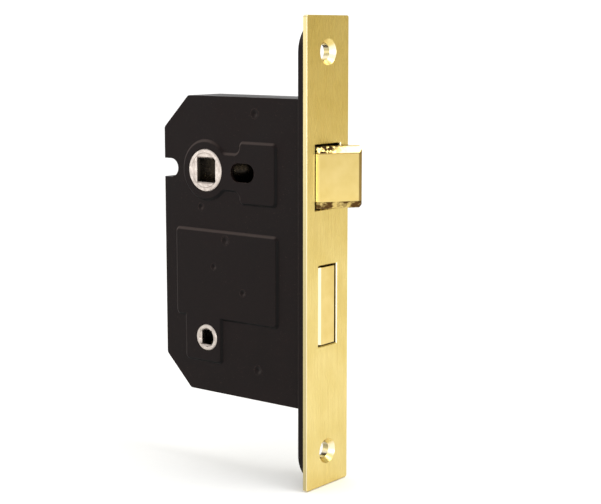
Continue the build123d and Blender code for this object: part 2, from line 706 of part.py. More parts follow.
def latch_rivet_form(x, z, gap):
    """Rivet with a countersunk head level with the tail's outer face."""
    low = LATCH_TAIL_LOW
    shank = rod(x, z, LATCH_RIVET_RADIUS + gap, low, LATCH_HALF)
    neck = low + RIVET_HEAD_DEPTH
    return shank + cone_across(x, z, RIVET_HEAD_RADIUS + gap, LATCH_RIVET_RADIUS + gap, low, neck)


def latch_rivets():
    """Rivets that join the latch tail to its head."""
    rivets = Part()
    for x, z in latch_rivet_places():
        rivets += latch_rivet_form(x, z, 0)
    return rivets


# ---- Latch spring and its block ----
def block_centre_z():
    """Height of the middle of the spring block."""
    return FOLLOWER_Z + BLOCK_LOW + BLOCK_HEIGHT / 2


def spring_block():
    """Block staked in the cap, with the pin that guides the latch spring."""
    low = FOLLOWER_Z + BLOCK_LOW
    shape = span(BLOCK_X, BLOCK_X + BLOCK_LENGTH, low, low + BLOCK_HEIGHT)
    body = slab(shape, LATCH_TAIL_HIGH + BLOCK_TAIL_GAP, HALF_INSIDE)
    centre = BLOCK_X + BLOCK_LENGTH / 2
    body += rod(centre, block_centre_z(), BLOCK_SPIGOT_RADIUS - RIVET_GAP, 0, HALF_OUTSIDE)
    pin = Pos(SPRING_Y, SPRING_Z) * Circle(GUIDE_PIN_RADIUS)
    middle = BLOCK_X + BLOCK_LENGTH / 2
    return body + plate(pin, middle, BLOCK_X + BLOCK_LENGTH + GUIDE_PIN_LENGTH)


def latch_spring():
    """Compression spring between its block and the pocket in the latch head."""
    start = BLOCK_X + BLOCK_LENGTH + SPRING_WIRE + CONTACT_GAP
    end = SPRING_POCKET_DEPTH - LATCH_REAR - SPRING_WIRE - CONTACT_GAP
    pitch = (end - start) / SPRING_TURNS
    path = Helix(pitch=pitch, height=end - start, radius=SPRING_RADIUS)
    body = sweep(Plane(path ^ 0) * Circle(SPRING_WIRE), path=path)
    return front_plane(start) * Pos(SPRING_Y, SPRING_Z, 0) * body


# ---- Wire springs ----
def follower_spring():
    """Return spring: one leg on the follower's lower arm, the other behind the front stud."""
    rest_x = FOLLOWER_X + ARM_RIGHT + WIRE_RADIUS + CONTACT_GAP
    push_point = (rest_x, MID_PILLAR[1] + RETURN_LEG_HEIGHT)
    up = tangent_angle(MID_PILLAR, -COIL_RADIUS, push_point, 0, 1)
    stud_reach = STUD_RADIUS + WIRE_RADIUS + CONTACT_GAP
    down = tangent_angle(MID_PILLAR, COIL_RADIUS, FRONT_STUD, stud_reach, -1)
    start = up + math.pi / 2
    wrap = (down - math.pi / 2 - start) % (2 * math.pi) / (2 * math.pi)
    push_leg = math.sqrt(math.dist(MID_PILLAR, push_point) ** 2 - COIL_RADIUS**2)
    held_leg = math.sqrt(math.dist(MID_PILLAR, FRONT_STUD) ** 2 - (COIL_RADIUS + stud_reach) ** 2)
    return wound_wire(
        RETURN_START_Y,
        math.degrees(start),
        RETURN_TURNS + wrap,
        [(push_leg, 0)],
        [(held_leg + RETURN_LEG_OVERRUN, 0)],
    )


def detent_spring():
    """Wire spring round the middle pillar, with a nose in the tail's notch."""
    crest = MID_PILLAR[1] - COIL_RADIUS
    nose = crest - (BOLT_TAIL_TOP - DETENT_DEPTH + WIRE_RADIUS + CONTACT_GAP)
    reach = MID_PILLAR[0] - DETENT_X
    press = crest - (BOLT_TAIL_TOP + WIRE_RADIUS + CONTACT_GAP)
    nose_end = (reach + nose + DETENT_LEG_END, -DETENT_NOSE_LIFT)
    nose_leg = [(reach - nose, 0), (reach, nose), (reach + nose, 0), nose_end]
    rest_end = (DETENT_LEG_REACH + DETENT_LEG_END, press - DETENT_LEG_LIFT)
    rest_leg = [(DETENT_LEG_END, 0), (DETENT_LEG_REACH, press), rest_end]
    return wound_wire(COIL_PITCH / 2, -90, 1, nose_leg, rest_leg)


# ---- Deadbolt ----
def bolt_rivet_places():
    """(X, Z) of the rivets that join the deadbolt's tail to its head."""
    x = -BOLT_LENGTH + BOLT_SLOT_DEPTH / 2
    return [(x, BOLT_CENTRE_Z + side * BOLT_RIVET_SPACING / 2) for side in (-1, 1)]


def deadbolt_head():
    """Brass bolt head, level with the forend when it is drawn back."""
    low = BOLT_CENTRE_Z - BOLT_HEIGHT / 2
    high = BOLT_CENTRE_Z + BOLT_HEIGHT / 2
    half = BOLT_THICKNESS / 2
    body = slab(span(-BOLT_LENGTH, 0, low, high), -half, half)
    body = chamfer(body.edges().filter_by(Axis.Z).sort_by(Axis.X)[-2:], BOLT_EDGE_CHAMFER)
    tail_half = BOLT_TAIL_SHEET / 2
    slot = span(-BOLT_LENGTH - OVERCUT, BOLT_SLOT_DEPTH - BOLT_LENGTH, low - OVERCUT, high + OVERCUT)
    body -= slab(slot, -tail_half, tail_half)
    for x, z in bolt_rivet_places():
        body -= rod(x, z, BOLT_RIVET_RADIUS + RIVET_GAP, -half, half)
    return body


def detent_notch(x):
    """Notch in the tail's top edge for the detent spring's nose."""
    top = BOLT_TAIL_TOP + OVERCUT
    floor = BOLT_TAIL_TOP - DETENT_DEPTH
    return outline(
        (x - DETENT_HALF_WIDTH, BOLT_TAIL_TOP),
        (x - DETENT_FLOOR_HALF_WIDTH, floor),
        (x + DETENT_FLOOR_HALF_WIDTH, floor),
        (x + DETENT_HALF_WIDTH, BOLT_TAIL_TOP),
        (x + DETENT_HALF_WIDTH, top),
        (x - DETENT_HALF_WIDTH, top),
    )


def guide_slot(stud):
    """Long slot in the tail for a guide stud, which stands at its front end at rest."""
    width = 2 * (STUD_RADIUS + PLATE_GAP)
    centre = Pos(stud[0] - BOLT_THROW / 2, stud[1])
    return centre * SlotCenterToCenter(BOLT_THROW, width)


def deadbolt_tail():
    """Steel tail with two guide slots, two detent notches and the slot that the finger drives."""
    rear = CASE_REAR + SHEET + BOLT_TAIL_REAR_GAP
    front = BOLT_SLOT_DEPTH - BOLT_LENGTH
    half = BOLT_TAIL_HEAD_HEIGHT / 2
    shape = span(rear, -BOLT_TAIL_SHOULDER, BOLT_TAIL_BOTTOM, BOLT_TAIL_TOP)
    shape += span(-BOLT_TAIL_SHOULDER - OVERCUT, front, BOLT_CENTRE_Z - half, BOLT_CENTRE_Z + half)
    left, right = DRIVE_SLOT_X - LOBE_HALF_WIDTH, DRIVE_SLOT_X + LOBE_HALF_WIDTH
    shape += span(left, right, LOBE_BOTTOM, BOLT_TAIL_BOTTOM + OVERCUT)
    slot_left, slot_right = DRIVE_SLOT_X - DRIVE_SLOT_HALF, DRIVE_SLOT_X + DRIVE_SLOT_HALF
    shape -= span(slot_left, slot_right, LOBE_BOTTOM - OVERCUT, DRIVE_SLOT_TOP)
    for stud in BOLT_STUDS:
        shape -= guide_slot(stud)
    for x in (DETENT_X, DETENT_X - BOLT_THROW):
        shape -= detent_notch(x)
    body = slab(shape, -BOLT_TAIL_SHEET / 2, BOLT_TAIL_SHEET / 2)
    for x, z in bolt_rivet_places():
        body -= rod(x, z, BOLT_RIVET_RADIUS + RIVET_GAP, -BOLT_TAIL_SHEET, BOLT_TAIL_SHEET)
    return body


def deadbolt_rivets():
    """Rivets that join the deadbolt's tail to its head."""
    half = BOLT_THICKNESS / 2
    rivets = Part()
    for x, z in bolt_rivet_places():
        rivets += rod(x, z, BOLT_RIVET_RADIUS, -half, half)
    return rivets


# ---- Bathroom follower ----
def bathroom_follower():
    """Turn follower whose finger drives the deadbolt."""
    body = dished_hub(TURN_Z, TURN_HUB_RADIUS)
    reach = HALF_INSIDE - PLATE_GAP
    for y_low, y_high in ((-reach, -TURN_SHOULDER_START), (TURN_SHOULDER_START, reach)):
        body += rod(FOLLOWER_X, TURN_Z, TURN_SHOULDER_RADIUS, y_low, y_high)
    stem = Pos(0, FINGER_RADIUS / 2) * Rectangle(2 * FINGER_STEM_HALF_WIDTH, FINGER_RADIUS)
    finger = stem + Pos(0, FINGER_RADIUS) * Circle(FINGER_TIP_RADIUS)
    finger = Pos(FOLLOWER_X, TURN_Z) * Rot(0, 0, FINGER_START_DEG) * finger
    body += slab(finger, -FINGER_HALF_THICKNESS, FINGER_HALF_THICKNESS)
    return body - spindle_hole(TURN_Z, TURN_SQUARE)


NODES = [
    outer_forend,
    inner_forend,
    case_body,
    case_cap,
    cap_screws,
    cap_pillars,
    bolt_guide_studs,
    follower_stop,
    handle_follower,
    follower_spring,
    latch_head,
    latch_tail,
    latch_rivets,
    latch_spring,
    spring_block,
    deadbolt_head,
    deadbolt_tail,
    deadbolt_rivets,
    detent_spring,
    bathroom_follower,
]

os.makedirs("parts", exist_ok=True)
for node in NODES:
    export_step(node(), f"parts/{node.__name__}.step")
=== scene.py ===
"""Looks of a bathroom mortise lock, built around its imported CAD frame.

The frame's origin is the centre of the forend's front face. +X points out of the forend, +Z is up
and the case body's plate faces -Y. Every length is in metres unless its name says mm.
"""

import json
import logging
import math
from dataclasses import dataclass, field
from enum import Enum
from typing import Callable, Protocol, Sequence

import bmesh
import bpy
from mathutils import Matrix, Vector


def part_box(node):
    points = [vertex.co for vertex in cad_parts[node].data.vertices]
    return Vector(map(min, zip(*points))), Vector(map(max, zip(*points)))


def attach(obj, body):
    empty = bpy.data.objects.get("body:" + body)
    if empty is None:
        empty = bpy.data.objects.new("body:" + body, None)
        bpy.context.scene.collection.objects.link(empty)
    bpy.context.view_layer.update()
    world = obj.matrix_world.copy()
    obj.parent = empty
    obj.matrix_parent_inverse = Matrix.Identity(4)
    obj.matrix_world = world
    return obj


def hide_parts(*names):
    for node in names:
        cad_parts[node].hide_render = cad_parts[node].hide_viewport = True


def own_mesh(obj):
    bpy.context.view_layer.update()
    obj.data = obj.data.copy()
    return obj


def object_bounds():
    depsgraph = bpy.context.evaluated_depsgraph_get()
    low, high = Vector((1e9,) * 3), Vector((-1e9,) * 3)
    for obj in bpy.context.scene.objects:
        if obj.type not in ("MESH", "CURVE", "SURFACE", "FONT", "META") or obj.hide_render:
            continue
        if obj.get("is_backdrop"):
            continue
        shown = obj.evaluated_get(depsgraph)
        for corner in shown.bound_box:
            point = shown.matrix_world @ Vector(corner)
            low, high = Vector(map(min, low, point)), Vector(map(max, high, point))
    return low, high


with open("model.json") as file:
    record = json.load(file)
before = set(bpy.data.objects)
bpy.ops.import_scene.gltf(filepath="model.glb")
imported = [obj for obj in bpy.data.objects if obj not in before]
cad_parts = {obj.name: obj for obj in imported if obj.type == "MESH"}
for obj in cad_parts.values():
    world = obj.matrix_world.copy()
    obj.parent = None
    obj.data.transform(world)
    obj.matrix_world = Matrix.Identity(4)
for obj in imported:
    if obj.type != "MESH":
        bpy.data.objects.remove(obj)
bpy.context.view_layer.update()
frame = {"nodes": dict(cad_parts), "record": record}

logging.basicConfig(level=logging.INFO, format="%(levelname)s %(message)s")
LOG = logging.getLogger("mortise_lock")

MM = 0.001
CASE_BODY = "case"

Socket = bpy.types.NodeSocket
# Two values of a pattern and the two that they become, held beyond both ends.
Span = tuple[float, float, float, float]
# Most of a noise pattern's values lie between these.
NOISE_REACH = (0.3, 0.7)
WHOLE: Span = (*NOISE_REACH, 0.0, 1.0)
AS_IS: Span = (0.0, 1.0, 0.0, 1.0)
# Agreement of a rounded normal with the real one, from a flat to an edge.
EDGE_TURN: Span = (0.99, 0.8, 0.0, 1.0)
# Half the side of the grey card's square before it is scaled.
CARD_HALF = 0.5


class Kind(Enum):
    """Nodes that the finishes and the edge softener use."""

    PLACE = "ShaderNodeTexCoord"
    MAPPING = "ShaderNodeMapping"
    SURFACE = "ShaderNodeNewGeometry"
    NOISE = "ShaderNodeTexNoise"
    RANGE = "ShaderNodeMapRange"
    MIX = "ShaderNodeMix"
    MATH = "ShaderNodeMath"
    VECTOR_MATH = "ShaderNodeVectorMath"
    SPLIT = "ShaderNodeSeparateXYZ"
    ROUNDED = "ShaderNodeBevel"
    BUMP = "ShaderNodeBump"
    GROUP_IN = "NodeGroupInput"
    GROUP_OUT = "NodeGroupOutput"
    WELD = "GeometryNodeMergeByDistance"
    SHADE = "GeometryNodeSetShadeSmooth"
    EDGE_ANGLE = "GeometryNodeInputMeshEdgeAngle"
    COMPARE = "FunctionNodeCompare"


class GrainAxis(Enum):
    """Direction in which a surface was brushed or drawn."""

    ALONG_X = 0
    ALONG_Y = 1
    ALONG_Z = 2


def linear(hex_colour: str) -> tuple[float, float, float, float]:
    """Turn an sRGB hex colour to linear light.

    Args:
        hex_colour: Six hex digits, with or without a leading hash.

    Returns:
        Linear red, green, blue and an alpha of 1.
    """
    digits = hex_colour.lstrip("#")
    channels = [int(digits[i : i + 2], 16) / 255.0 for i in (0, 2, 4)]
    low = [c / 12.92 if c <= 0.04045 else ((c + 0.055) / 1.055) ** 2.4 for c in channels]
    return (low[0], low[1], low[2], 1.0)


class Wiring:
    """A node tree, and the one way in which nodes are added to it."""

    def __init__(self, tree: bpy.types.NodeTree) -> None:
        """Keep the tree."""
        self.tree = tree

    def feed(self, socket: Socket, value: object) -> None:
        """Link an output socket to an input, or set the input's value.

        Args:
            socket: The input.
            value: An output socket, a number or a tuple.
        """
        if isinstance(value, Socket):
            self.tree.links.new(value, socket)
        else:
            socket.default_value = value

    def add(
        self,
        kind: Kind,
        inputs: Sequence[object] | dict[str, object] | dict[int, object] = (),
        out: str | int = 0,
        **settings: object,
    ) -> Socket | None:
        """Add a node with its settings, input values and links.

        Args:
            kind: Which node.
            inputs: Values or output sockets, in the inputs' order or by their names or numbers.
            out: Name or number of the output that is wanted.
            settings: Attributes of the node.

        Returns:
            That output, or None from a node that has none.
        """
        node = self.tree.nodes.new(kind.value)
        for key, value in settings.items():
            setattr(node, key, value)
        placed = inputs if isinstance(inputs, dict) else dict(enumerate(inputs))
        for key, value in placed.items():
            self.feed(node.inputs[key], value)
        return node.outputs[out] if len(node.outputs) else None


class NodeSheet(Wiring):
    """A material's node tree with its shader."""

    def __init__(self, name: str) -> None:
        """Make an empty material with one Principled shader.

        Args:
            name: The material's name.
        """
        self.material = bpy.data.materials.new(name)
        self.material.use_nodes = True
        super().__init__(self.material.node_tree)
        self.shader = self.tree.nodes["Principled BSDF"]

    def surface(self, **values: object) -> bpy.types.Material:
        """Set or link the shader's inputs and return the material.

        Args:
            values: Values or sockets, with underscores for the spaces in the inputs' names.

        Returns:
            The finished material.
        """
        for key, value in values.items():
            self.feed(self.shader.inputs[key.replace("_", " ")], value)
        return self.material

    def place(self, scale: Sequence[float] = (1.0, 1.0, 1.0)) -> Socket:
        """Position on the piece at rest, scaled along each axis.

        Args:
            scale: Factor along X, Y and Z.

        Returns:
            The vector.
        """
        source = self.add(Kind.PLACE, out="Object")
        if tuple(scale) == (1.0, 1.0, 1.0):
            return source
        return self.add(Kind.MAPPING, {"Vector": source, "Scale": tuple(scale)})

    def layered(self, base: object, *layers: tuple[Socket, Span, str]) -> Socket:
        """Lay colours over a base, one after another.

        Args:
            base: The base's colour or its socket.
            layers: Each layer's pattern, the span that makes it a share, and its hex colour.

        Returns:
            The colour with all its layers.
        """
        for pattern, span, colour in layers:
            share = self.add(Kind.RANGE, [pattern, *span])
            inputs = {0: share, 6: base, 7: linear(colour)}
            base = self.add(Kind.MIX, inputs, 2, data_type="RGBA")
        return base

    def off_plane(self, axis: str, plane: float) -> Socket:
        """Distance from a plane across one axis of the piece at rest.

        Args:
            axis: X, Y or Z.
            plane: The plane's coordinate in metres.

        Returns:
            The distance in metres, never negative.
        """
        coordinate = self.add(Kind.SPLIT, [self.place()], axis)
        gap = self.add(Kind.MATH, [coordinate, plane], operation="SUBTRACT")
        return self.add(Kind.MATH, [gap], operation="ABSOLUTE")

    def outward(self) -> Socket:
        """Share of Y in the normal: -1 where a face looks to the side of the case's plate."""
        return self.add(Kind.SPLIT, [self.add(Kind.SURFACE, out="Normal")], "Y")

    def roundness(self, width_mm: float) -> Socket:
        """How well a normal rounded over a width agrees with the real one.

        Args:
            width_mm: The width in millimetres.

        Returns:
            1 on a flat and less near an edge.
        """
        rounded = self.add(Kind.ROUNDED, {"Radius": width_mm * MM}, samples=4)
        pair = [rounded, self.add(Kind.SURFACE, out="Normal")]
        return self.add(Kind.VECTOR_MATH, pair, "Value", operation="DOT_PRODUCT")


@dataclass(frozen=True)
class Mottle:
    """Irregular marks of a real size: grain, specks, blots or clouds."""

    size_mm: float
    detail: float = 3.0
    rough: float = 0.55
    stretch: tuple[float, float, float] = (1.0, 1.0, 1.0)

    def drawn(self, sheet: NodeSheet) -> Socket:
        """Draw the marks on a sheet.

        Args:
            sheet: The material's nodes.

        Returns:
            Their value, about 0.5 in the middle.
        """
        inputs = {
            "Vector": sheet.place([1.0 / s for s in self.stretch]),
            "Scale": 1.0 / (self.size_mm * MM),
            "Detail": self.detail,
            "Roughness": self.rough,
        }
        return sheet.add(Kind.NOISE, inputs, "Fac")


@dataclass(frozen=True)
class BrushedBrass:
    """Brass plate brushed along its length and clear lacquered: a soft lengthwise sheen.

    The near rounded corner carries a pale painted highlight and the near side face a greyer
    painted shade. The grain is drawn coarser than real grit marks, or it would not show.
    """

    name: str = "brushed_lacquered_brass"
    colour: str = "E9D58D"
    shade: str = "DFC97C"
    tarnish: str = "B89D5C"
    # Painted shade on the near side face, the one facing -Y.
    side: str = "BFB07F"
    # Painted highlight on the near rounded corner.
    corner: str = "F6EACB"
    grain_axis: GrainAxis = GrainAxis.ALONG_Z
    grain_mm: float = 0.35
    grain_length: float = 60.0
    grain_detail: float = 4.0
    grain_rough: float = 0.7
    grain_depth_mm: float = 0.004
    clouds: Mottle = Mottle(14.0, detail=2.0)
    spots: Mottle = Mottle(1.1, detail=2.0)
    streaks: Span = (0.35, 0.75, 0.0, 0.35)
    flecks: Span = (0.70, 0.78, 0.0, 0.5)
    corner_highlight_turn: Span = (-0.5, -0.65, 0.0, 1.0)
    side_shade_turn: Span = (-0.8, -0.95, 0.0, 1.0)
    smoothest: float = 0.22
    roughest: float = 0.35

    def make(self) -> bpy.types.Material:
        """Build the material.

        Returns:
            The finished material.
        """
        sheet = NodeSheet(self.name)
        stretch = [1.0, 1.0, 1.0]
        stretch[self.grain_axis.value] = self.grain_length
        grain = Mottle(self.grain_mm, self.grain_detail, self.grain_rough, tuple(stretch))
        lines = grain.drawn(sheet)
        base = sheet.layered(
            linear(self.colour),
            (self.clouds.drawn(sheet), WHOLE, self.shade),
            (lines, self.streaks, self.tarnish),
            (self.spots.drawn(sheet), self.flecks, self.tarnish),
            # Painted highlight on the near corner, then painted shade on the near side face.
            (sheet.outward(), self.corner_highlight_turn, self.corner),
            (sheet.outward(), self.side_shade_turn, self.side),
        )
        rough = sheet.add(Kind.RANGE, [lines, *NOISE_REACH, self.smoothest, self.roughest])
        normal = sheet.add(Kind.BUMP, {"Height": lines, "Distance": self.grain_depth_mm * MM})
        return sheet.surface(Base_Color=base, Metallic=1.0, Roughness=rough, Normal=normal)


@dataclass(frozen=True)
class LatchPaintedShading:
    """Painted reflections and painted shade on the latch's slopes, creases and tip.

    A painted brown reflection lies in patches on the lower slope, a painted dark reflection at
    the root of the upper one, and thin lines of painted shade in the upper crease and along the
    tip.
    The creases and the tip are coordinates in metres.
    """

    low_crease: float
    high_crease: float
    tip: float
    # Painted brown reflection on the lower slope, and painted shade lines in the crease and at
    # the tip.
    painted_shading: str = "4A2F14"
    # Painted dark reflection at the root of the upper slope.
    root_reflection: str = "1D1209"
    fade_mm: float = 0.12
    crease_line_mm: tuple[float, float] = (0.11, 0.22)
    crease_share: float = 0.75
    tip_line_mm: tuple[float, float] = (0.15, 0.05)
    tip_share: float = 0.6
    root_mm: tuple[float, float] = (3.0, 6.5)
    root_shares: tuple[float, float] = (1.0, 0.15)
    low_reflection_marks: Mottle = Mottle(2.2)
    low_reflection_patches: Span = (0.36, 0.52, 0.1, 0.97)
    root_reflection_marks: Mottle = Mottle(1.6)
    root_reflection_patches: Span = (0.4, 0.52, 0.2, 1.0)

    def laid(self, sheet: NodeSheet, base: object) -> Socket:
        """Lay the painted shade and reflections over the brass.

        Args:
            sheet: The material's nodes.
            base: The clean colour.

        Returns:
            The colour with its painted shade and reflections.
        """
        across = sheet.add(Kind.SPLIT, [sheet.place()], "X")
        up = sheet.add(Kind.SPLIT, [sheet.place()], "Z")
        fade = self.fade_mm * MM
        low = sheet.add(Kind.RANGE, [up, self.low_crease, self.low_crease + fade, 1.0, 0.0])
        high = sheet.add(Kind.RANGE, [up, self.high_crease, self.high_crease + fade, 0.0, 1.0])
        low_reflection_patches = sheet.add(Kind.RANGE, [self.low_reflection_marks.drawn(sheet), *self.low_reflection_patches])
        root_reflection_patches = sheet.add(Kind.RANGE, [self.root_reflection_marks.drawn(sheet), *self.root_reflection_patches])
        gap = sheet.off_plane("Z", self.high_crease)
        width = [limit * MM for limit in self.crease_line_mm]
        crease = sheet.add(Kind.RANGE, [gap, *width, self.crease_share, 0.0])
        band = [self.tip - limit * MM for limit in self.tip_line_mm]
        end = sheet.add(Kind.RANGE, [across, *band, 0.0, self.tip_share])
        reach = [limit * MM for limit in self.root_mm]
        root = sheet.add(Kind.RANGE, [across, *reach, *self.root_shares])
        # Painted brown reflection in patches below the lower crease, and painted shade lines.
        lower = sheet.add(Kind.MATH, [low, low_reflection_patches], operation="MULTIPLY")
        brown = sheet.add(Kind.MATH, [crease, end], operation="MAXIMUM")
        brown = sheet.add(Kind.MATH, [brown, lower], operation="MAXIMUM")
        # Painted dark reflection near the forend, above the upper crease.
        upper = sheet.add(Kind.MATH, [root, high], operation="MULTIPLY")
        upper = sheet.add(Kind.MATH, [upper, root_reflection_patches], operation="MULTIPLY")
        return sheet.layered(base, (brown, AS_IS, self.painted_shading), (upper, AS_IS, self.root_reflection))


@dataclass(frozen=True)
class PolishedBrass:
    """Cast brass, machined, buffed and lacquered: clear reflections with faint buffing marks.

    Slanted edges on the plate's side carry a pale painted highlight, and the flank beyond has its
    own colour, a painted highlight on the latch.
    """

    name: str
    # Painted reflections and shade for the latch's slopes, or none.
    painted_shading: LatchPaintedShading | None = None
    # Colour of the near flank: on the latch a painted highlight, otherwise the plain colour.
    flank_highlight: str = "E2CA84"
    colour: str = "E2CA84"
    shade: str = "D9BF74"
    # Painted highlight on the slanted edges that face the plate's side.
    edge_highlight: str = "FBF4DC"
    edge_highlight_turn: Span = (-0.6, -0.75, 0.0, 1.0)
    flank_highlight_turn: Span = (-0.85, -0.95, 0.0, 1.0)
    clouds: Mottle = Mottle(6.0, detail=2.0)
    marks: Mottle = Mottle(0.5, 4.0, 0.7, (1.0, 1.0, 14.0))
    mark_depth_mm: float = 0.0015
    gloss: Span = (0.3, 0.8, 0.07, 0.17)

    def make(self) -> bpy.types.Material:
        """Build the material.

        Returns:
            The finished material.
        """
        sheet = NodeSheet(self.name)
        marks = self.marks.drawn(sheet)
        base = sheet.layered(
            linear(self.colour),
            (self.clouds.drawn(sheet), WHOLE, self.shade),
            # Painted highlight on the near slanted edges, and on the latch's near flank.
            (sheet.outward(), self.edge_highlight_turn, self.edge_highlight),
            (sheet.outward(), self.flank_highlight_turn, self.flank_highlight),
        )
        # Painted reflections and shade, on the latch only.
        if self.painted_shading is not None:
            base = self.painted_shading.laid(sheet, base)
        rough = sheet.add(Kind.RANGE, [marks, *self.gloss])
        normal = sheet.add(Kind.BUMP, {"Height": marks, "Distance": self.mark_depth_mm * MM})
        return sheet.surface(Base_Color=base, Metallic=1.0, Roughness=rough, Normal=normal)


@dataclass(frozen=True)
class BlackLacquer:
    """Pressed steel dipped in black lacquer: satin, faintly rippled, rubbed brown at its edges.

    Painted highlights lie on the slopes that face up or to the rear, and painted shade on
    those that face down, so the pressed outlines show as thin lines.
    """

    name: str = "black_dipped_steel"
    colour: str = "0F0706"
    dusty: str = "170E0D"
    rubbed: str = "54433C"
    # Painted highlight on the slopes that face up or to the rear.
    slope_highlight: str = "5C504B"
    # Painted shade on the slopes that face down.
    slope_shade: str = "030202"
    ior: float = 1.5
    gloss_level: float = 0.1
    smoothest: float = 0.36
    roughest: float = 0.52
    ripples: Mottle = Mottle(2.4)
    ripple_depth_mm: float = 0.02
    specks: Mottle = Mottle(0.45, detail=2.0)
    speck_depth_mm: float = 0.006
    clouds: Mottle = Mottle(18.0)
    dust: Span = (0.35, 0.7, 0.0, 0.6)
    grit: Span = (0.66, 0.74, 0.0, 0.3)
    patches: Span = (0.4, 0.62, 0.0, 1.0)
    wear: Span = (0.1, 0.9, 0.0, 0.6)
    wear_mm: float = 0.25
    tilted: Span = (0.25, 0.5, 0.0, 1.0)
    rearward: float = -0.8
    upward: Span = (0.15, 0.7, 0.0, 0.4)
    downward: Span = (-0.15, -0.6, 0.0, 0.9)

    def slopes(self, sheet: NodeSheet) -> list[tuple[Socket, Span, str]]:
        """Paint highlights on the upper and rear slopes of the pressed outlines, shade on the
        lower.

        Args:
            sheet: The material's nodes.

        Returns:
            The two layers, each with its share, span and colour.
        """
        normal = sheet.add(Kind.SURFACE, out="Normal")
        forward, outward, up = (sheet.add(Kind.SPLIT, [normal], axis) for axis in "XYZ")
        flatness = sheet.add(Kind.MATH, [outward], operation="ABSOLUTE")
        tilt = sheet.add(Kind.RANGE, [flatness, *self.tilted])
        back = sheet.add(Kind.MATH, [forward, self.rearward], operation="MULTIPLY")
        lean = sheet.add(Kind.MATH, [up, back], operation="ADD")
        rising = sheet.add(Kind.RANGE, [lean, *self.upward])
        falling = sheet.add(Kind.RANGE, [lean, *self.downward])
        lit = sheet.add(Kind.MATH, [tilt, rising], operation="MULTIPLY")
        shaded = sheet.add(Kind.MATH, [tilt, falling], operation="MULTIPLY")
        return [(lit, AS_IS, self.slope_highlight), (shaded, AS_IS, self.slope_shade)]

    def make(self) -> bpy.types.Material:
        """Build the material.

        Returns:
            The finished material.
        """
        sheet = NodeSheet(self.name)
        ripples = self.ripples.drawn(sheet)
        specks = self.specks.drawn(sheet)
        clouds = self.clouds.drawn(sheet)
        patches = sheet.add(Kind.RANGE, [specks, *self.patches])
        edges = sheet.add(Kind.RANGE, [sheet.roundness(self.wear_mm), *EDGE_TURN])
        worn = sheet.add(Kind.MATH, [edges, patches], operation="MULTIPLY")
        base = sheet.layered(
            linear(self.colour),
            (clouds, self.dust, self.dusty),
            (specks, self.grit, self.rubbed),
            (worn, self.wear, self.rubbed),
            # Painted highlights and painted shade on the slopes of the pressed outlines.
            *self.slopes(sheet),
        )
        rough = sheet.add(Kind.RANGE, [clouds, *NOISE_REACH, self.smoothest, self.roughest])
        wavy = sheet.add(Kind.BUMP, {"Height": ripples, "Distance": self.ripple_depth_mm * MM})
        fine = {"Height": specks, "Distance": self.speck_depth_mm * MM, "Normal": wavy}
        normal = sheet.add(Kind.BUMP, fine)
        sheet.surface(Base_Color=base, Roughness=rough, Normal=normal)
        return sheet.surface(IOR=self.ior, Specular_IOR_Level=self.gloss_level)


